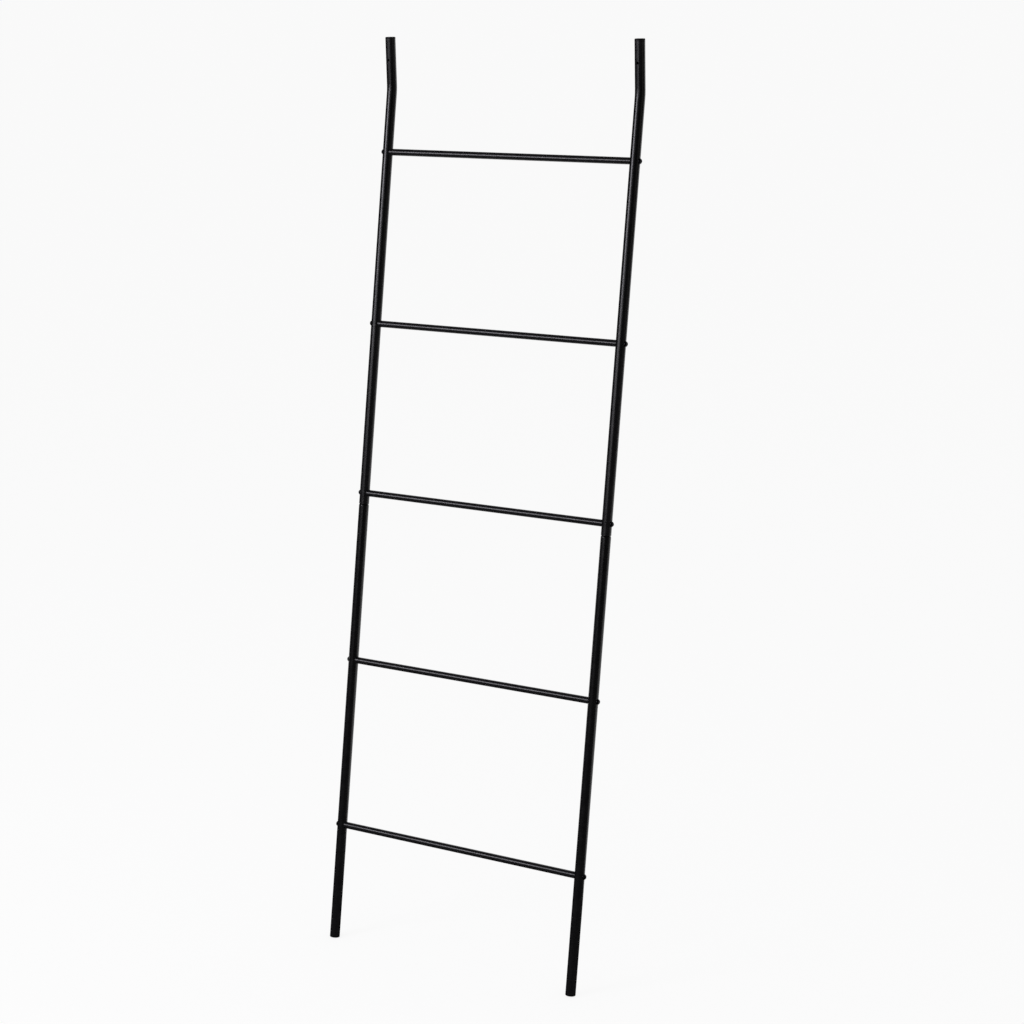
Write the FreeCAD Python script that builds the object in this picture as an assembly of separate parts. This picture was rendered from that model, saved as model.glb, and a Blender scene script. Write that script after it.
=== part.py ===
# Blanket ladder: two rails of round steel tube lean against a wall, with five rungs bolted
# between them. Each rail is two tubes joined by a swaged spigot, and its top is bent upright.
#
# Part frame: X to the right seen from the front, Y from the room to the wall, Z up. The origin
# is on the floor, in the middle of the width and of the depth.
# Ladder frame, in which the pieces are drawn: the same X, with the rails along Z and the centre
# of each foot's face at Z = 0. The whole ladder is then leaned back about X.
# Lengths are in millimetres, angles in degrees. Rungs are numbered from the top.
import FreeCAD, Part
import math
import os

# Tubes
RAIL_OD = 19.05
RAIL_WALL = 1.2
RUNG_OD = 12.7
RUNG_WALL = 1.0

# Layout along a rail
RAIL_SPACING = 529.0        # between the centre lines of the rails
LEG_LENGTH = 223.5          # from the face of the foot to the lowest rung
RUNG_PITCH = 323.85
RUNG_COUNT = 5
RUNG_TO_BEND = 118.0        # from the top rung to the corner of the bend
TOP_LENGTH = 96.0           # from the corner of the bend to the face of the top cap
BEND_RADIUS = 100.0         # to the centre line of the tube
LEAN = 10.5                 # of the rails from the vertical

# Screw hole through each top end, for fixing the ladder to the wall
WALL_HOLE_DIAMETER = 5.0
WALL_HOLE_DROP = 42.0       # below the face of the top cap

# Joint between the two tubes of a rail
JOINT_RUNG_NUMBER = 3       # the bolts of this rung pass through both tubes and lock the joint
JOINT_DROP = 21.0           # below the centre of that rung
SPIGOT_PAST_BOLT = 24.0     # length of the spigot above that rung's centre
SPIGOT_CLEARANCE = 0.15     # between the spigot and the bore of the upper tube
SHOULDER_RADIUS = 4.0       # where the lower tube starts to narrow
NECK_RADIUS = 2.0           # where it runs into the spigot
SPIGOT_LEAD = 0.5           # chamfer on the end of the spigot

# Joint between rung and rail
COPE_CLEARANCE = 0.05       # between the coped rung end and the rail
BOLT_DIAMETER = 6.0
BOLT_ENGAGEMENT = 15.95     # length of the bolt beyond the rail, inside the rung
BOLT_POINT = 0.8            # chamfer on the end of the bolt
BOLT_HOLE_CLEARANCE = 0.25  # between the bolt and its holes in the rail
HEAD_DIAMETER = 10.5
HEAD_HEIGHT = 3.3
HEAD_RIM = 0.4              # straight edge of the head under its dome
HEAD_FLAT = 5.6             # diameter of the flat on top of the dome
SOCKET_WIDTH = 4.0          # across the flats of the hexagon
SOCKET_DEPTH = 2.1
SOCKET_POINT = 0.8          # drilled cone at the bottom of the socket

# Threaded insert in each rung end
INSERT_PAST_BOLT = 6.0      # length of the insert beyond the end of the bolt
INSERT_SETBACK = 0.3        # between its face and the rail
INSERT_RIDGES = 4
RIDGE_HEIGHT = 0.35
INSERT_CLEARANCE = 0.05     # between its ridges and the bore of the rung
THREAD_CLEARANCE = 0.05     # between the bolt and the insert

# End caps, the same in all four rail ends
CAP_RIM = 3.0               # thickness of the rim outside the tube
CAP_EDGE = 1.5              # rounding of its outer edge
CAP_PLUG_LENGTH = 14.0
CAP_PLUG_WALL = 1.6
CAP_RIBS = 3
CAP_RIB_HEIGHT = 0.6
CAP_RIB_ROOT = 1.4          # width of a rib where it leaves the plug
CAP_RIB_CREST = 0.7         # width of a rib where it meets the bore
CAP_CLEARANCE = 0.05        # between its ribs and the bore of the tube

# Worked out from the sizes above
RAIL_RADIUS = RAIL_OD / 2
RAIL_BORE = RAIL_RADIUS - RAIL_WALL
RUNG_RADIUS = RUNG_OD / 2
RUNG_BORE = RUNG_RADIUS - RUNG_WALL
BOLT_RADIUS = BOLT_DIAMETER / 2
BOLT_LENGTH = RAIL_OD + BOLT_ENGAGEMENT
INSERT_LENGTH = BOLT_ENGAGEMENT - INSERT_SETBACK + INSERT_PAST_BOLT
SPIGOT_RADIUS = RAIL_BORE - SPIGOT_CLEARANCE
TOP_RUNG_Z = LEG_LENGTH + (RUNG_COUNT - 1) * RUNG_PITCH
BEND_Z = TOP_RUNG_Z + RUNG_TO_BEND
LEAN_SIN = math.sin(math.radians(LEAN))
LEAN_COS = math.cos(math.radians(LEAN))
CAP_EDGE_CENTRE = RAIL_RADIUS - CAP_EDGE

SIDES = {"left": -1, "right": 1}
HEX_SIDES = 6
SAME_POINT = 1e-6           # points closer than this are one point
X_AXIS = FreeCAD.Vector(1, 0, 0)
Z_AXIS = FreeCAD.Vector(0, 0, 1)


def rung_z(number):
    """Height of a rung's centre along the rail, in the ladder frame."""
    return TOP_RUNG_Z - (number - 1) * RUNG_PITCH


JOINT_Z = rung_z(JOINT_RUNG_NUMBER) - JOINT_DROP


# ---- drawing helpers ----

def cylinder(radius, length, start, direction):
    return Part.makeCylinder(radius, length, start, direction)


def point(radius, height):
    """A point of a turned profile, drawn in the XZ plane about Z."""
    return FreeCAD.Vector(radius, 0, height)


def arc(centre, radius, start_angle, end_angle):
    """An arc of a turned profile, about a centre in the XZ plane."""
    def on_arc(angle):
        turn = math.radians(angle)
        return centre + point(radius * math.cos(turn), radius * math.sin(turn))
    middle = (start_angle + end_angle) / 2
    return Part.Arc(on_arc(start_angle), on_arc(middle), on_arc(end_angle)).toShape()


def ends(edge):
    return edge.valueAt(edge.FirstParameter), edge.valueAt(edge.LastParameter)


def outline(*stretches):
    """Edges through points and arcs in order, joined by straight lines."""
    edges = []
    last = None
    for stretch in stretches:
        is_point = isinstance(stretch, FreeCAD.Vector)
        first, end = (stretch, stretch) if is_point else ends(stretch)
        if last is not None and last.distanceToPoint(first) > SAME_POINT:
            edges.append(Part.makeLine(last, first))
        if not is_point:
            edges.append(stretch)
        last = end
    return edges


def turned(*stretches):
    """A solid turned about Z from the closed outline of its section."""
    first = stretches[0]
    edges = outline(*stretches, first)
    face = Part.Face(Part.Wire(edges))
    return face.revolve(FreeCAD.Vector(), Z_AXIS, 360)


def on_x(shape, position, side):
    """Turns a piece drawn along Z to lie along X, its Z pointing out of the ladder."""
    shape = shape.copy()
    outwards = FreeCAD.Rotation(Z_AXIS, FreeCAD.Vector(side, 0, 0))
    shape.Placement = FreeCAD.Placement(position, outwards)
    return shape


def rail_axis(side, height=0.0):
    return FreeCAD.Vector(side * RAIL_SPACING / 2, 0, height)


# ---- rails ----

def bent_bar(radius):
    """A bar along Z from the joint to the top cap, bent forward at the corner of the bend."""
    setback = BEND_RADIUS * math.tan(math.radians(LEAN / 2))
    start = FreeCAD.Vector(0, 0, JOINT_Z)
    disc = Part.Face(Part.Wire(Part.makeCircle(radius, start, Z_AXIS)))
    straight = disc.extrude(Z_AXIS * (BEND_Z - setback - JOINT_Z))
    bend_disc = disc.translated(Z_AXIS * (BEND_Z - setback - JOINT_Z))
    bend_centre = FreeCAD.Vector(0, -BEND_RADIUS, BEND_Z - setback)
    bend = bend_disc.revolve(bend_centre, X_AXIS, LEAN)
    top_direction = FreeCAD.Vector(0, -LEAN_SIN, LEAN_COS)
    top_start = FreeCAD.Vector(0, 0, BEND_Z) + top_direction * setback
    top = cylinder(radius, TOP_LENGTH - CAP_RIM - setback, top_start, top_direction)
    return straight.fuse([bend, top]).removeSplitter()


def bolt_hole(side, number):
    """The cutter for a bolt's holes through both walls of a rail."""
    radius = BOLT_RADIUS + BOLT_HOLE_CLEARANCE
    start = rail_axis(side, rung_z(number)) - X_AXIS * RAIL_OD
    return cylinder(radius, 2 * RAIL_OD, start, X_AXIS)


def rungs_on(low, high):
    """Numbers of the rungs whose bolts pass through a stretch of rail."""
    return [n for n in range(1, RUNG_COUNT + 1) if low < rung_z(n) < high]


def top_point(side, below_face):
    """A point on the centre line of a rail's upright top, below the face of its cap."""
    top_direction = FreeCAD.Vector(0, -LEAN_SIN, LEAN_COS)
    return rail_axis(side, BEND_Z) + top_direction * (TOP_LENGTH - below_face)


def rail_upper(side):
    """Upper rail tube: straight, bent upright at the top, open at both ends."""
    tube = bent_bar(RAIL_RADIUS).cut(bent_bar(RAIL_BORE))
    tube.translate(rail_axis(side))
    holes = [bolt_hole(side, n) for n in rungs_on(JOINT_Z, BEND_Z)]
    across = FreeCAD.Vector(0, LEAN_COS, LEAN_SIN)
    wall_hole_start = top_point(side, WALL_HOLE_DROP) - across * RAIL_OD
    holes.append(cylinder(WALL_HOLE_DIAMETER / 2, 2 * RAIL_OD, wall_hole_start, across))
    return tube.cut(holes)


def rail_lower(side):
    """Lower rail tube: straight, narrowed at the top to a spigot for the upper tube."""
    drop = RAIL_RADIUS - SPIGOT_RADIUS
    sweep = math.degrees(math.acos(1 - drop / (SHOULDER_RADIUS + NECK_RADIUS)))
    neck_length = (SHOULDER_RADIUS + NECK_RADIUS) * math.sin(math.radians(sweep))
    shoulder_centre = point(RAIL_RADIUS - SHOULDER_RADIUS, JOINT_Z - neck_length)
    neck_centre = point(SPIGOT_RADIUS + NECK_RADIUS, JOINT_Z)
    spigot_end = rung_z(JOINT_RUNG_NUMBER) + SPIGOT_PAST_BOLT
    spigot_bore = SPIGOT_RADIUS - RAIL_WALL
    tube = turned(
        point(RAIL_BORE, CAP_RIM),
        point(RAIL_RADIUS, CAP_RIM),
        arc(shoulder_centre, SHOULDER_RADIUS, 0, sweep),
        arc(neck_centre, NECK_RADIUS, 180 + sweep, 180),
        point(SPIGOT_RADIUS, spigot_end - SPIGOT_LEAD),
        point(SPIGOT_RADIUS - SPIGOT_LEAD, spigot_end),
        point(spigot_bore, spigot_end),
        arc(neck_centre, NECK_RADIUS + RAIL_WALL, 180, 180 + sweep),
        arc(shoulder_centre, SHOULDER_RADIUS - RAIL_WALL, sweep, 0))
    tube.translate(rail_axis(side))
    return tube.cut([bolt_hole(side, n) for n in rungs_on(CAP_RIM, spigot_end)])


# ---- rungs, inserts and bolts ----

def rung(number):
    """Rung tube between the rails, with both ends coped to the round of the rails."""
    start = rail_axis(-1, rung_z(number))
    bar = cylinder(RUNG_RADIUS, RAIL_SPACING, start, X_AXIS)
    bore = cylinder(RUNG_BORE, RAIL_SPACING, start, X_AXIS)
    copes = []
    for side in SIDES.values():
        foot = rail_axis(side, rung_z(number) - RUNG_OD)
        copes.append(cylinder(RAIL_RADIUS + COPE_CLEARANCE, 2 * RUNG_OD, foot, Z_AXIS))
    return bar.cut([bore] + copes)


def insert(number, side):
    """Threaded insert in a rung end. Its ridges grip the bore of the rung."""
    ridge_radius = RUNG_BORE - INSERT_CLEARANCE
    body_radius = ridge_radius - RIDGE_HEIGHT
    bore_radius = BOLT_RADIUS + THREAD_CLEARANCE
    step = INSERT_LENGTH / (INSERT_RIDGES + 1)
    section = [point(bore_radius, -INSERT_LENGTH), point(body_radius, -INSERT_LENGTH)]
    for ridge in range(1, INSERT_RIDGES + 1):
        crest = -INSERT_LENGTH + ridge * step
        section.append(point(body_radius, crest - step / 2))
        section.append(point(ridge_radius, crest))
        section.append(point(body_radius, crest))
    section.append(point(body_radius, 0))
    section.append(point(bore_radius, 0))
    face_x = side * (RAIL_SPACING / 2 - RAIL_RADIUS - INSERT_SETBACK)
    return on_x(turned(*section), FreeCAD.Vector(face_x, 0, rung_z(number)), side)


def bolt_body():
    """Shank and domed head turned about Z, with the underside of the head at Z = 0."""
    head_radius = HEAD_DIAMETER / 2
    flat_radius = HEAD_FLAT / 2
    rim_square = head_radius ** 2 + HEAD_RIM ** 2
    flat_square = flat_radius ** 2 + HEAD_HEIGHT ** 2
    dome_height = (flat_square - rim_square) / (2 * (HEAD_HEIGHT - HEAD_RIM))
    dome_radius = math.hypot(head_radius, HEAD_RIM - dome_height)
    dome_start = math.degrees(math.atan2(HEAD_RIM - dome_height, head_radius))
    dome_end = math.degrees(math.atan2(HEAD_HEIGHT - dome_height, flat_radius))
    return turned(
        point(0, -BOLT_LENGTH),
        point(BOLT_RADIUS - BOLT_POINT, -BOLT_LENGTH),
        point(BOLT_RADIUS, BOLT_POINT - BOLT_LENGTH),
        point(BOLT_RADIUS, 0),
        point(head_radius, 0),
        arc(point(0, dome_height), dome_radius, dome_start, dome_end),
        point(0, HEAD_HEIGHT))


def hex_socket():
    """The cutters for the socket in the head: a hexagon and the cone of its drilled hole."""
    socket_floor = HEAD_HEIGHT - SOCKET_DEPTH
    corners = [point(SOCKET_WIDTH / 2 / math.cos(math.pi / HEX_SIDES), socket_floor)]
    turn = FreeCAD.Rotation(Z_AXIS, 360 / HEX_SIDES)
    for _ in range(HEX_SIDES):
        corners.append(turn.multVec(corners[-1]))
    hexagon = Part.Face(Part.makePolygon(corners)).extrude(Z_AXIS * HEAD_HEIGHT)
    cone = Part.makeCone(0, SOCKET_WIDTH / 2, SOCKET_POINT, point(0, socket_floor - SOCKET_POINT))
    return [hexagon, cone]


def bolt(number, side):
    """Domed socket-head bolt through the rail. Its thread is drawn plain, at full diameter."""
    seat = rail_axis(side, rung_z(number)) + X_AXIS * (side * RAIL_RADIUS)
    return on_x(bolt_body().cut(hex_socket()), seat, side)


# ---- end caps ----

def end_cap():
    """Cap with its outer face at Z = 0 and its plug along +Z, hollow from the inside."""
    rib_radius = RAIL_BORE - CAP_CLEARANCE
    plug_radius = rib_radius - CAP_RIB_HEIGHT
    hollow_radius = plug_radius - CAP_PLUG_WALL
    plug_end = CAP_RIM + CAP_PLUG_LENGTH
    edge_centre = point(CAP_EDGE_CENTRE, CAP_EDGE)
    section = [
        point(0, 0),
        arc(edge_centre, CAP_EDGE, -90, 0),
        point(RAIL_RADIUS, CAP_RIM),
        point(plug_radius, CAP_RIM)]
    spacing = CAP_PLUG_LENGTH / (CAP_RIBS + 1)
    for rib in range(1, CAP_RIBS + 1):
        middle = CAP_RIM + rib * spacing
        section.append(point(plug_radius, middle - CAP_RIB_ROOT / 2))
        section.append(point(rib_radius, middle - CAP_RIB_CREST / 2))
        section.append(point(rib_radius, middle + CAP_RIB_CREST / 2))
        section.append(point(plug_radius, middle + CAP_RIB_ROOT / 2))
    section += [
        point(plug_radius, plug_end),
        point(hollow_radius, plug_end),
        point(hollow_radius, CAP_RIM),
        point(0, CAP_RIM)]
    return turned(*section)


def foot_cap(side):
    cap = end_cap()
    cap.translate(rail_axis(side))
    return cap


def top_cap(side):
    cap = end_cap()
    down = FreeCAD.Vector(0, LEAN_SIN, -LEAN_COS)
    cap.Placement = FreeCAD.Placement(top_point(side, 0), FreeCAD.Rotation(Z_AXIS, down))
    return cap


# ---- the ladder leaned back on the floor ----

def standing():
    """Placement that leans the ladder back, with its feet on Z = 0 and its depth about Y = 0."""
    lowest = -CAP_EDGE_CENTRE * LEAN_SIN - CAP_EDGE * (1 - LEAN_COS)
    front = -CAP_EDGE_CENTRE * LEAN_COS - CAP_EDGE * (1 - LEAN_SIN)
    back = BEND_Z * LEAN_SIN + RAIL_RADIUS
    position = FreeCAD.Vector(0, -(front + back) / 2, -lowest)
    return FreeCAD.Placement(position, FreeCAD.Rotation(X_AXIS, -LEAN))


def pieces():
    """Every piece by name, in the ladder frame."""
    parts = {}
    for name, side in SIDES.items():
        parts[name + "_rail_upper"] = rail_upper(side)
        parts[name + "_rail_lower"] = rail_lower(side)
        parts[name + "_top_cap"] = top_cap(side)
        parts[name + "_foot_cap"] = foot_cap(side)
    for number in range(1, RUNG_COUNT + 1):
        parts[f"rung_{number}"] = rung(number)
        for name, side in SIDES.items():
            parts[f"rung_{number}_insert_{name}"] = insert(number, side)
            parts[f"rung_{number}_bolt_{name}"] = bolt(number, side)
    return parts


os.makedirs("parts", exist_ok=True)
stand = standing()
for node, shape in pieces().items():
    shape.Placement = stand.multiply(shape.Placement)
    shape.exportStep(f"parts/{node}.step")
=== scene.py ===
"""Blanket ladder of black powder-coated steel tube, dressed round its packed CAD frame.

Every length is in metres. The front of the ladder faces -Y and the wall is at +Y."""

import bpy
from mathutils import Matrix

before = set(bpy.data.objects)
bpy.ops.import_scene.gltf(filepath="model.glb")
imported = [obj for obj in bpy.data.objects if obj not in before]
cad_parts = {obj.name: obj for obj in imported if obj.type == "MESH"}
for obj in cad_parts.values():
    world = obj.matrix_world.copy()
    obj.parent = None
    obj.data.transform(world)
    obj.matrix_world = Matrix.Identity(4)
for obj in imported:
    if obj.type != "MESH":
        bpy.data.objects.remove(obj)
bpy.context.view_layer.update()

import math

import bmesh
import bpy
from bpy.props import FloatProperty, FloatVectorProperty, PointerProperty
from mathutils import Matrix, Quaternion, Vector

bl_info = {
    "name": "Blanket Ladder",
    "version": (1, 0, 0),
    "blender": (4, 5, 0),
    "location": "View3D > Sidebar > Ladder",
    "description": "Finishes, stage and camera for a leaning ladder of black steel tube",
    "category": "Object",
}

MM = 0.001
WAVE_RADIANS = 20.0         # that a wave texture turns in one metre at a scale of 1
SIDES = ("left", "right")
RUNGS = sorted(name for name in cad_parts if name.startswith("rung_") and name.count("_") == 1)
RAILS = [f"{side}_rail_{part}" for side in SIDES for part in ("upper", "lower")]
CAPS = [f"{side}_{end}_cap" for side in SIDES for end in ("top", "foot")]
BOLTS = [f"{rung}_bolt_{side}" for rung in RUNGS for side in SIDES]
INSERTS = [f"{rung}_insert_{side}" for rung in RUNGS for side in SIDES]

# Each lamp's place, the point it faces, its width and height, its roll in degrees and its colour
LAMPS = {
    "key_softbox": {
        "place": (-2.35, -3.50, 2.48), "target": (0.0, 0.0, 1.4), "size": (1.7, 0.85),
        "roll": -20.0, "colour": "#f8f6ff",
    },
    "front_card": {
        "place": (-0.40, -3.70, 1.80), "target": (0.0, 0.0, 1.2), "size": (1.6, 0.7),
        "roll": -20.0, "colour": "#fbfaff",
    },
    "side_card": {
        "place": (3.6, -0.1, 1.9), "target": (0.0, 0.0, 1.5), "size": (1.2, 1.6),
        "roll": 0.0, "colour": "#fffcf2",
    },
}

# The stage
FLOOR_RADIUS = 120.0
FLOOR_SIDES = 96
FLOOR_WHITE = 0.87          # how far the floor turns to plain white where it is seen
MOTTLE_SIZE = 0.5           # soft unevenness of the painted floor
FLAG_LEFT, FLAG_RIGHT = -4.5, 4.5
FLAG_FRONT, FLAG_BACK = -5.5, 4.0
FLAG_TOP = 4.5
CLOTH_EDGE = 0.3            # how far back the cloth on the floor reaches
CLOTH_HEIGHT = 0.001
SENSOR_WIDTH = 36.0         # in millimetres
VIEW_END = 400.0


def srgb(code):
    """Linear RGBA of an sRGB hex colour such as "#0d0d0f"."""
    channels = [int(code[i:i + 2], 16) / 255 for i in (1, 3, 5)]
    return tuple(c / 12.92 if c <= 0.04045 else ((c + 0.055) / 1.055) ** 2.4 for c in channels) + (1.0,)


# Node helpers


def add_node(tree, kind, inputs=None, **settings):
    """Adds a node, applies its settings, and fills its inputs with values or with links from sockets."""
    node = tree.nodes.new("ShaderNode" + kind)
    for name, value in settings.items():
        setattr(node, name, value)
    for key, value in (inputs or {}).items():
        if isinstance(value, bpy.types.NodeSocket):
            tree.links.new(value, node.inputs[key])
        else:
            node.inputs[key].default_value = value
    return node


def start_material(name):
    """An empty node material of this name, and its tree."""
    material = bpy.data.materials.new(name)
    material.use_nodes = True
    material.node_tree.nodes.clear()
    return material, material.node_tree


def give_finish(names, material):
    """Puts the material into every material slot of these CAD nodes."""
    for name in names:
        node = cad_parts[name]
        for place in node.material_slots:
            place.material = material


# Settings that a user would change


class CoatSettings(bpy.types.PropertyGroup):
    """Powder coat of the rails and rungs."""

    colour: FloatVectorProperty(
        name="Coat colour", description="Colour of the powder coat",
        subtype="COLOR", size=4, min=0.0, max=1.0, default=srgb("#060607"),
    )
    worn_colour: FloatVectorProperty(
        name="Thin coat colour", description="Colour where the coat runs thin over an edge",
        subtype="COLOR", size=4, min=0.0, max=1.0, default=srgb("#1b1a1c"),
    )
    roughness: FloatProperty(
        name="Roughness", description="Roughness of the satin surface",
        subtype="FACTOR", min=0.0, max=1.0, default=0.27,
    )
    peel_size: FloatProperty(
        name="Orange peel", description="Distance from one ripple of the baked coat to the next",
        unit="LENGTH", min=0.0005, max=0.02, default=4.0 * MM,
    )
    peel_height: FloatProperty(
        name="Peel height", description="Height of the ripples of the baked coat",
        unit="LENGTH", min=0.0, max=0.001, default=0.010 * MM,
    )


class CapSettings(bpy.types.PropertyGroup):
    """Moulded end caps."""

    colour: FloatVectorProperty(
        name="Cap colour", description="Colour of the moulded end caps",
        subtype="COLOR", size=4, min=0.0, max=1.0, default=srgb("#0a0a0a"),
    )
    scuff_colour: FloatVectorProperty(
        name="Scuff colour", description="Colour of the plastic where it is rubbed",
        subtype="COLOR", size=4, min=0.0, max=1.0, default=srgb("#242424"),
    )
    roughness: FloatProperty(
        name="Roughness", description="Roughness of the moulded surface",
        subtype="FACTOR", min=0.0, max=1.0, default=0.55,
    )


class MetalSettings(bpy.types.PropertyGroup):
    """Bolts and the inserts that they screw into."""

    bolt_colour: FloatVectorProperty(
        name="Bolt colour", description="Colour of the blackened steel",
        subtype="COLOR", size=4, min=0.0, max=1.0, default=srgb("#323236"),
    )
    rubbed_colour: FloatVectorProperty(
        name="Rubbed bolt colour", description="Colour of the steel where its rims are rubbed bright",
        subtype="COLOR", size=4, min=0.0, max=1.0, default=srgb("#6a6a6e"),
    )
    bolt_roughness: FloatProperty(
        name="Bolt roughness", description="Roughness of the blackened steel",
        subtype="FACTOR", min=0.0, max=1.0, default=0.36,
    )
    insert_colour: FloatVectorProperty(
        name="Insert colour", description="Colour of the zinc plate",
        subtype="COLOR", size=4, min=0.0, max=1.0, default=srgb("#bcbdbf"),
    )
    cloudy_colour: FloatVectorProperty(
        name="Cloudy plate colour", description="Colour of the clouds in the zinc plate",
        subtype="COLOR", size=4, min=0.0, max=1.0, default=srgb("#a3a6ad"),
    )
    insert_roughness: FloatProperty(
        name="Insert roughness", description="Roughness of the zinc plate",
        subtype="FACTOR", min=0.0, max=1.0, default=0.27,
    )


class StageSettings(bpy.types.PropertyGroup):
    """Floor, lights and camera."""

    floor_colour: FloatVectorProperty(
        name="Floor colour", description="Colour of the plain pale floor",
        subtype="COLOR", size=4, min=0.0, max=1.0, default=srgb("#f4f4f4"),
    )
    velvet_colour: FloatVectorProperty(
        name="Velvet colour", description="Colour of the black cloth that the tubes mirror",
        subtype="COLOR", size=4, min=0.0, max=1.0, default=srgb("#2a2a2a"),
    )
    fill: FloatProperty(
        name="Room light", description="Strength of the even light from all round",
        min=0.0, max=2.0, default=0.68,
    )
    key_power: FloatProperty(
        name="Key light", description="Power of the softbox at the front left",
        unit="POWER", min=0.0, max=1000.0, default=64.0,
    )
    front_power: FloatProperty(
        name="Front light", description="Power of the card straight ahead",
        unit="POWER", min=0.0, max=1000.0, default=11.0,
    )
    side_power: FloatProperty(
        name="Side light", description="Power of the card at the right",
        unit="POWER", min=0.0, max=1000.0, default=1.8,
    )
    lens: FloatProperty(
        name="Lens", description="Focal length on a sensor 36 mm wide, in millimetres",
        min=10.0, max=300.0, default=80.485,
    )
    camera_place: FloatVectorProperty(
        name="Camera place", description="Where the camera stands",
        subtype="XYZ", unit="LENGTH", size=3, default=(2.198157, -3.477983, 1.899847),
    )
    camera_turn: FloatVectorProperty(
        name="Camera turn", description="Heading to the left of the wall, tilt down and roll of the camera",
        unit="ROTATION", size=3,
        default=tuple(math.radians(angle) for angle in (31.4540, 14.3069, -1.2669)),
    )


# Finishes


def powder_coat(settings):
    """Polyester powder, sprayed on steel tube and baked: a satin black skin with faint orange peel,
    a fine grit that breaks up the highlight, and a thinner, greyer line where it pulls off an edge."""
    material, tree = start_material("satin_black_powder_coat")
    place = add_node(tree, "TexCoord").outputs["Object"]
    # The ripples are really 1 to 3 mm across, under two pixels of the render, and are drawn at 4 mm.
    peel = add_node(tree, "TexNoise", {
        "Vector": place, "Scale": 1 / settings.peel_size, "Detail": 1.0, "Roughness": 0.4,
    })
    # The powder's grains are 0.05 mm and are drawn at 0.5 mm.
    grain_size, grain_height = 0.5 * MM, 0.004 * MM
    grit = add_node(tree, "TexNoise", {
        "Vector": place, "Scale": 1 / grain_size, "Detail": 2.0, "Roughness": 0.6,
    })
    # The gun's strokes leave bands of a little more or less coat.
    stroke_width = 70 * MM
    drift = add_node(tree, "TexNoise", {
        "Vector": place, "Scale": 1 / stroke_width, "Detail": 3.0, "Roughness": 0.55,
    })
    # Hands and cartons rub soft patches.
    patch_width = 12 * MM
    rub = add_node(tree, "TexNoise", {
        "Vector": place, "Scale": 1 / patch_width, "Detail": 4.0, "Roughness": 0.65,
    })

    edge = add_node(tree, "NewGeometry").outputs["Pointiness"]
    thin = add_node(tree, "MapRange", {
        "Value": edge, "From Min": 0.54, "From Max": 0.62, "To Min": 0.0, "To Max": 1.0,
    })
    broken = add_node(tree, "Math", {0: thin.outputs[0], 1: rub.outputs["Fac"]}, operation="MULTIPLY")

    shade = add_node(tree, "MapRange", {
        "Value": drift.outputs["Fac"], "From Min": 0.3, "From Max": 0.7, "To Min": 0.85, "To Max": 1.2,
    })
    tone = add_node(
        tree, "VectorMath", {0: settings.colour[:3], "Scale": shade.outputs[0]}, operation="SCALE",
    )
    colour = add_node(tree, "Mix", {
        0: broken.outputs[0], 6: tone.outputs[0], 7: settings.worn_colour,
    }, data_type="RGBA")

    gloss = add_node(tree, "MapRange", {
        "Value": rub.outputs["Fac"], "From Min": 0.3, "From Max": 0.7,
        "To Min": settings.roughness - 0.03, "To Max": settings.roughness + 0.04,
    })
    polish = add_node(tree, "MapRange", {
        "Value": grit.outputs["Fac"], "From Min": 0.3, "From Max": 0.7, "To Min": -0.02, "To Max": 0.02,
    })
    roughness = add_node(tree, "Math", {0: gloss.outputs[0], 1: polish.outputs[0]}, operation="ADD")

    ripples = add_node(tree, "Bump", {
        "Height": peel.outputs["Fac"], "Distance": settings.peel_height, "Strength": 1.0,
    })
    grain = add_node(tree, "Bump", {
        "Height": grit.outputs["Fac"], "Distance": grain_height, "Strength": 1.0,
        "Normal": ripples.outputs[0],
    })
    surface = add_node(tree, "BsdfPrincipled", {
        "Base Color": colour.outputs[2], "Roughness": roughness.outputs[0], "Normal": grain.outputs[0],
        "Metallic": 0.0, "IOR": 1.5, "Specular IOR Level": 0.4,
    })
    add_node(tree, "OutputMaterial", {"Surface": surface.outputs[0]})
    return material


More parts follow.
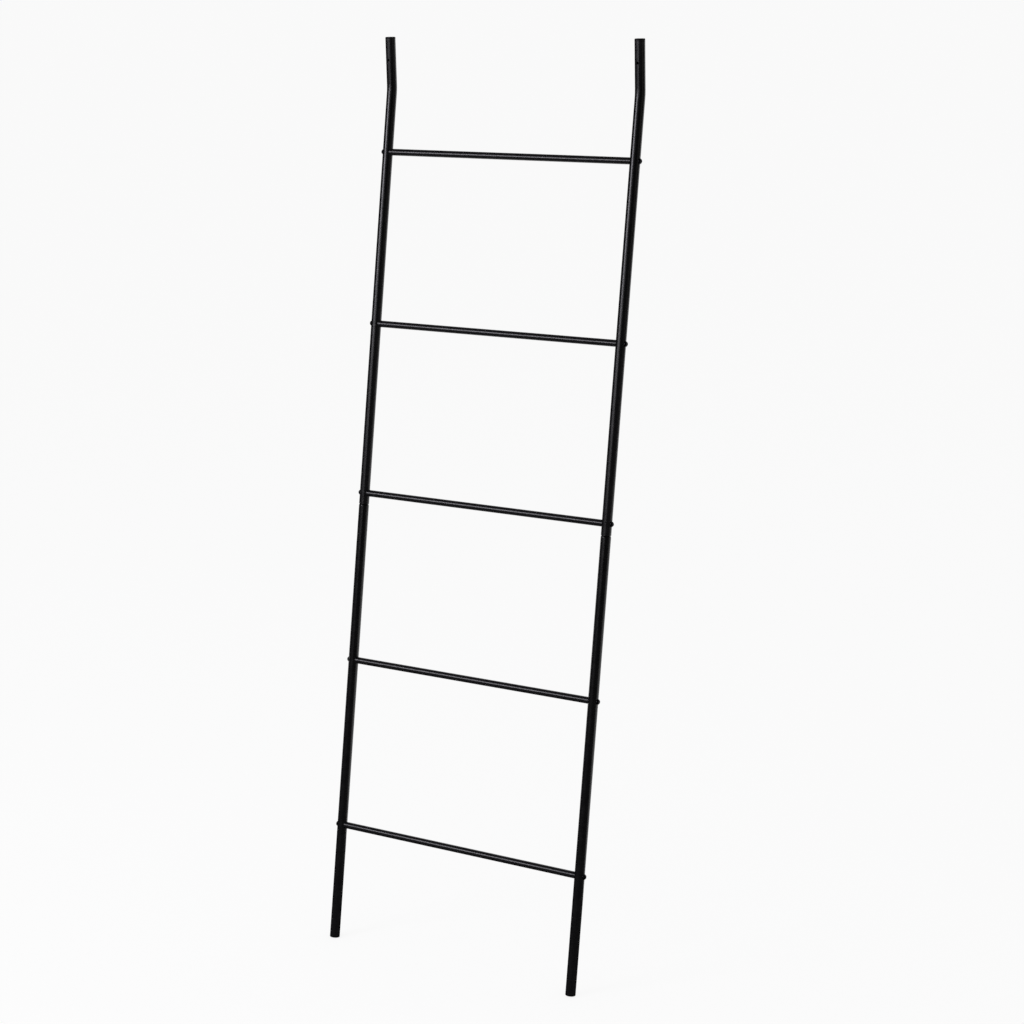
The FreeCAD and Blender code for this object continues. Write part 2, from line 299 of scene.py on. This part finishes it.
def moulded_polyethylene(settings):
    """Low-density polyethylene, injection moulded in a spark-textured mould: a dull, slightly waxy
    black with an even fine grain, rubbed grey on the rims that touch floor and hands."""
    material, tree = start_material("moulded_black_polyethylene")
    place = add_node(tree, "TexCoord").outputs["Object"]
    # The mould's spark texture is 0.1 to 0.2 mm and is drawn at 0.6 mm.
    spark_size, spark_depth = 0.6 * MM, 0.02 * MM
    spark = add_node(tree, "TexVoronoi", {
        "Vector": place, "Scale": 1 / spark_size, "Randomness": 1.0,
    }, feature="SMOOTH_F1")
    # The flow of the melt leaves soft patches.
    flow_width = 5 * MM
    flow = add_node(tree, "TexNoise", {"Vector": place, "Scale": 1 / flow_width, "Detail": 2.0})
    # Scratches from the floor are about 0.1 mm wide and are drawn at 0.8 mm, stretched along Y.
    scratch_width = 0.8 * MM
    along = add_node(tree, "Mapping", {"Vector": place, "Scale": (1.0, 0.25, 1.0)})
    scratch = add_node(tree, "TexNoise", {
        "Vector": along.outputs[0], "Scale": 1 / scratch_width, "Detail": 3.0, "Roughness": 0.7,
    })

    edge = add_node(tree, "NewGeometry").outputs["Pointiness"]
    rim = add_node(tree, "MapRange", {
        "Value": edge, "From Min": 0.52, "From Max": 0.62, "To Min": 0.0, "To Max": 0.9,
    })
    scuffs = add_node(tree, "Math", {0: rim.outputs[0], 1: scratch.outputs["Fac"]}, operation="MULTIPLY")
    colour = add_node(tree, "Mix", {
        0: scuffs.outputs[0], 6: settings.colour, 7: settings.scuff_colour,
    }, data_type="RGBA")

    dull = add_node(tree, "MapRange", {
        "Value": flow.outputs["Fac"], "From Min": 0.3, "From Max": 0.7,
        "To Min": settings.roughness - 0.05, "To Max": settings.roughness + 0.05,
    })
    grain = add_node(tree, "Bump", {
        "Height": spark.outputs["Distance"], "Distance": spark_depth, "Strength": 1.0,
    })
    surface = add_node(tree, "BsdfPrincipled", {
        "Base Color": colour.outputs[2], "Roughness": dull.outputs[0], "Normal": grain.outputs[0],
        "Metallic": 0.0, "IOR": 1.51, "Specular IOR Level": 0.22,
    })
    add_node(tree, "OutputMaterial", {"Surface": surface.outputs[0]})
    return material


def black_oxide_steel(settings):
    """Alloy steel, cold headed and blackened in a hot salt bath, then oiled: a dark grey metal with
    soft forging dimples, dull in the hollows and rubbed bright on the rim of the socket."""
    material, tree = start_material("black_oxide_steel")
    place = add_node(tree, "TexCoord").outputs["Object"]
    # Forging dimples are about 0.5 mm and are drawn at 1 mm.
    dimple_width, dimple_depth = 1.0 * MM, 0.02 * MM
    dimples = add_node(tree, "TexNoise", {
        "Vector": place, "Scale": 1 / dimple_width, "Detail": 3.0, "Roughness": 0.6,
    })
    # The oil dries in patches.
    oil_width = 3.0 * MM
    oil = add_node(tree, "TexNoise", {"Vector": place, "Scale": 1 / oil_width, "Detail": 2.0})

    edge = add_node(tree, "NewGeometry").outputs["Pointiness"]
    rim = add_node(tree, "MapRange", {
        "Value": edge, "From Min": 0.53, "From Max": 0.65, "To Min": 0.0, "To Max": 0.5,
    })
    colour = add_node(tree, "Mix", {
        0: rim.outputs[0], 6: settings.bolt_colour, 7: settings.rubbed_colour,
    }, data_type="RGBA")
    roughness = add_node(tree, "MapRange", {
        "Value": oil.outputs["Fac"], "From Min": 0.3, "From Max": 0.7,
        "To Min": settings.bolt_roughness - 0.06, "To Max": settings.bolt_roughness + 0.08,
    })
    skin = add_node(tree, "Bump", {
        "Height": dimples.outputs["Fac"], "Distance": dimple_depth, "Strength": 1.0,
    })
    surface = add_node(tree, "BsdfPrincipled", {
        "Base Color": colour.outputs[2], "Roughness": roughness.outputs[0], "Normal": skin.outputs[0],
        "Metallic": 1.0,
    })
    add_node(tree, "OutputMaterial", {"Surface": surface.outputs[0]})
    return material


def zinc_plated_steel(settings):
    """Free-cutting steel, turned from bar and zinc plated: bright bluish metal with fine turning
    rings round the rung's axis and a cloudy plate."""
    material, tree = start_material("zinc_plated_turned_steel")
    place = add_node(tree, "TexCoord").outputs["Object"]
    # The tool's feed leaves a ring every 0.1 mm, drawn every 0.5 mm.
    ring_pitch, ring_depth = 0.5 * MM, 0.01 * MM
    rings = add_node(tree, "TexWave", {
        "Vector": place, "Scale": math.tau / (WAVE_RADIANS * ring_pitch), "Distortion": 0.4,
    }, bands_direction="X")
    # The plate clouds in patches.
    cloud_width = 4.0 * MM
    cloud = add_node(tree, "TexNoise", {"Vector": place, "Scale": 1 / cloud_width, "Detail": 3.0})

    colour = add_node(tree, "Mix", {
        0: cloud.outputs["Fac"], 6: settings.insert_colour, 7: settings.cloudy_colour,
    }, data_type="RGBA")
    roughness = add_node(tree, "MapRange", {
        "Value": cloud.outputs["Fac"], "From Min": 0.3, "From Max": 0.7,
        "To Min": settings.insert_roughness - 0.06, "To Max": settings.insert_roughness + 0.10,
    })
    turned = add_node(tree, "Bump", {
        "Height": rings.outputs["Fac"], "Distance": ring_depth, "Strength": 1.0,
    })
    surface = add_node(tree, "BsdfPrincipled", {
        "Base Color": colour.outputs[2], "Roughness": roughness.outputs[0], "Normal": turned.outputs[0],
        "Metallic": 1.0,
    })
    add_node(tree, "OutputMaterial", {"Surface": surface.outputs[0]})
    return material


# Operators


class LADDER_OT_rails(bpy.types.Operator):
    """Coat the two rails, each of an upper and a lower tube"""

    bl_idname = "ladder.rails"
    bl_label = "Rails"

    def execute(self, context):
        give_finish(RAILS, powder_coat(context.scene.ladder_coat))
        return {"FINISHED"}


class LADDER_OT_rungs(bpy.types.Operator):
    """Coat the five rungs in the rails' own finish"""

    bl_idname = "ladder.rungs"
    bl_label = "Rungs"

    def execute(self, context):
        material = bpy.data.materials.get("satin_black_powder_coat") or powder_coat(context.scene.ladder_coat)
        give_finish(RUNGS, material)
        return {"FINISHED"}


class LADDER_OT_caps(bpy.types.Operator):
    """Finish the caps in the tops and feet of the rails"""

    bl_idname = "ladder.caps"
    bl_label = "End caps"

    def execute(self, context):
        give_finish(CAPS, moulded_polyethylene(context.scene.ladder_caps))
        return {"FINISHED"}


class LADDER_OT_bolts(bpy.types.Operator):
    """Finish the domed bolts that hold the rungs"""

    bl_idname = "ladder.bolts"
    bl_label = "Bolts"

    def execute(self, context):
        give_finish(BOLTS, black_oxide_steel(context.scene.ladder_metal))
        return {"FINISHED"}


class LADDER_OT_inserts(bpy.types.Operator):
    """Finish the threaded inserts inside the rung ends"""

    bl_idname = "ladder.inserts"
    bl_label = "Inserts"

    def execute(self, context):
        give_finish(INSERTS, zinc_plated_steel(context.scene.ladder_metal))
        return {"FINISHED"}


class LADDER_OT_stage(bpy.types.Operator):
    """Set the floor, the lights and the camera"""

    bl_idname = "ladder.stage"
    bl_label = "Stage"

    def execute(self, context):
        settings = context.scene.ladder_stage
        self.floor(context, settings)
        self.room(context, settings)
        self.flags(context, settings)
        powers = {
            "key_softbox": settings.key_power,
            "front_card": settings.front_power,
            "side_card": settings.side_power,
        }
        for name, power in powers.items():
            self.lamp(context, name, power, **LAMPS[name])
        self.camera(context, settings)
        context.scene.view_settings.view_transform = "Standard"
        return {"FINISHED"}

    def seen(self, tree):
        """1 for the rays that show the background: straight to the camera, mirrored, or through glass."""
        path = add_node(tree, "LightPath")
        shown = path.outputs["Is Camera Ray"]
        for ray in ("Is Glossy Ray", "Is Transmission Ray"):
            shown = add_node(tree, "Math", {0: shown, 1: path.outputs[ray]}, operation="MAXIMUM").outputs[0]
        return shown

    def floor(self, context, settings):
        """A level floor that shows white and still takes a soft shadow."""
        mesh = bpy.data.meshes.new("studio_floor")
        shape = bmesh.new()
        bmesh.ops.create_circle(shape, cap_ends=True, segments=FLOOR_SIDES, radius=FLOOR_RADIUS)
        shape.to_mesh(mesh)
        shape.free()
        floor = bpy.data.objects.new("studio_floor", mesh)
        context.scene.collection.objects.link(floor)
        material, tree = start_material("pale_studio_floor")
        place = add_node(tree, "TexCoord").outputs["Object"]
        mottle = add_node(tree, "TexNoise", {"Vector": place, "Scale": 1 / MOTTLE_SIZE, "Detail": 3.0})
        tone = add_node(tree, "MapRange", {"Value": mottle.outputs["Fac"], "To Min": 0.98, "To Max": 1.0})
        colour = add_node(
            tree, "VectorMath", {0: settings.floor_colour[:3], "Scale": tone.outputs[0]}, operation="SCALE",
        )
        matt = add_node(tree, "BsdfDiffuse", {"Color": colour.outputs[0]})
        glow = add_node(tree, "Emission", {"Color": (1.0, 1.0, 1.0, 1.0), "Strength": 1.0})
        share = add_node(tree, "Math", {0: self.seen(tree), 1: FLOOR_WHITE}, operation="MULTIPLY")
        surface = add_node(tree, "MixShader", {0: share.outputs[0], 1: matt.outputs[0], 2: glow.outputs[0]})
        add_node(tree, "OutputMaterial", {"Surface": surface.outputs[0]})
        mesh.materials.append(material)

    def flags(self, context, settings):
        """Black velvet round the front of the set, out of the picture, as a photographer hangs it to
        keep gloss black. Only reflections see it, so it takes no light from the ladder or the floor."""
        left, right, front, back, top = FLAG_LEFT, FLAG_RIGHT, FLAG_FRONT, FLAG_BACK, FLAG_TOP
        edge, low = CLOTH_EDGE, CLOTH_HEIGHT
        corners = (
            ((left, front, 0.0), (right, front, 0.0), (right, front, top), (left, front, top)),
            ((left, back, 0.0), (left, front, 0.0), (left, front, top), (left, back, top)),
            ((right, front, 0.0), (right, back, 0.0), (right, back, top), (right, front, top)),
            ((left, front, top), (right, front, top), (right, back, top), (left, back, top)),
            ((left, front, low), (right, front, low), (right, edge, low), (left, edge, low)),
        )
        mesh = bpy.data.meshes.new("black_flags")
        shape = bmesh.new()
        for panel in corners:
            shape.faces.new([shape.verts.new(corner) for corner in panel])
        shape.to_mesh(mesh)
        shape.free()
        flags = bpy.data.objects.new("black_flags", mesh)
        flags.visible_camera = flags.visible_diffuse = flags.visible_shadow = False
        context.scene.collection.objects.link(flags)
        material, tree = start_material("black_velvet")
        velvet = add_node(tree, "BsdfDiffuse", {"Color": settings.velvet_colour})
        add_node(tree, "OutputMaterial", {"Surface": velvet.outputs[0]})
        mesh.materials.append(material)

    def room(self, context, settings):
        """Even light from all round, and white where the background shows."""
        world = bpy.data.worlds.new("studio_room")
        world.use_nodes = True
        tree = world.node_tree
        tree.nodes.clear()
        fill = add_node(tree, "Background", {"Color": (1.0, 1.0, 1.0, 1.0), "Strength": settings.fill})
        white = add_node(tree, "Background", {"Color": (1.0, 1.0, 1.0, 1.0), "Strength": 1.0})
        mix = add_node(tree, "MixShader", {0: self.seen(tree), 1: fill.outputs[0], 2: white.outputs[0]})
        add_node(tree, "OutputWorld", {"Surface": mix.outputs[0]})
        context.scene.world = world

    def lamp(self, context, name, power, place, target, size, roll, colour):
        """A soft rectangular lamp that faces the target, rolled about that line."""
        light = bpy.data.lights.new(name, "AREA")
        light.shape = "RECTANGLE"
        light.size, light.size_y = size
        light.energy = power
        light.color = srgb(colour)[:3]
        lamp = bpy.data.objects.new(name, light)
        lamp.location = place
        lamp.visible_camera = False
        facing = (Vector(target) - Vector(place)).to_track_quat("-Z", "Y")
        lamp.rotation_euler = (facing @ Quaternion((0.0, 0.0, 1.0), math.radians(roll))).to_euler()
        context.scene.collection.objects.link(lamp)

    def camera(self, context, settings):
        """The camera at the photograph's place."""
        lens = bpy.data.cameras.new("camera")
        lens.sensor_width = SENSOR_WIDTH
        lens.lens = settings.lens
        lens.clip_end = VIEW_END
        camera = bpy.data.objects.new("camera", lens)
        heading, down, roll = settings.camera_turn
        camera.matrix_world = (
            Matrix.Translation(settings.camera_place)
            @ Matrix.Rotation(heading, 4, "Z")
            @ Matrix.Rotation(math.pi / 2 - down, 4, "X")
            @ Matrix.Rotation(roll, 4, "Z")
        )
        context.scene.collection.objects.link(camera)
        context.scene.camera = camera


class LADDER_PT_panel(bpy.types.Panel):
    """Lists the ladder's steps and settings"""

    bl_idname = "LADDER_PT_panel"
    bl_label = "Blanket ladder"
    bl_space_type = "VIEW_3D"
    bl_region_type = "UI"
    bl_category = "Ladder"

    def draw(self, context):
        layout = self.layout
        for operator in OPERATORS:
            layout.operator(operator.bl_idname)
        for holder, group in SETTINGS.items():
            box = layout.box()
            box.label(text=group.__doc__)
            for name in group.__annotations__:
                box.prop(getattr(context.scene, holder), name)


OPERATORS = (
    LADDER_OT_rails,
    LADDER_OT_rungs,
    LADDER_OT_caps,
    LADDER_OT_bolts,
    LADDER_OT_inserts,
    LADDER_OT_stage,
)
SETTINGS = {
    "ladder_coat": CoatSettings,
    "ladder_caps": CapSettings,
    "ladder_metal": MetalSettings,
    "ladder_stage": StageSettings,
}


def register():
    for group in SETTINGS.values():
        bpy.utils.register_class(group)
    for holder, group in SETTINGS.items():
        setattr(bpy.types.Scene, holder, PointerProperty(type=group))
    for operator in OPERATORS:
        bpy.utils.register_class(operator)
    bpy.utils.register_class(LADDER_PT_panel)


def unregister():
    bpy.utils.unregister_class(LADDER_PT_panel)
    for operator in reversed(OPERATORS):
        bpy.utils.unregister_class(operator)
    for holder in SETTINGS:
        delattr(bpy.types.Scene, holder)
    for group in reversed(list(SETTINGS.values())):
        bpy.utils.unregister_class(group)


def main():
    register()
    bpy.ops.ladder.rails()
    bpy.ops.ladder.rungs()
    bpy.ops.ladder.caps()
    bpy.ops.ladder.bolts()
    bpy.ops.ladder.inserts()
    bpy.ops.ladder.stage()


if __name__ == "__main__":
    main()
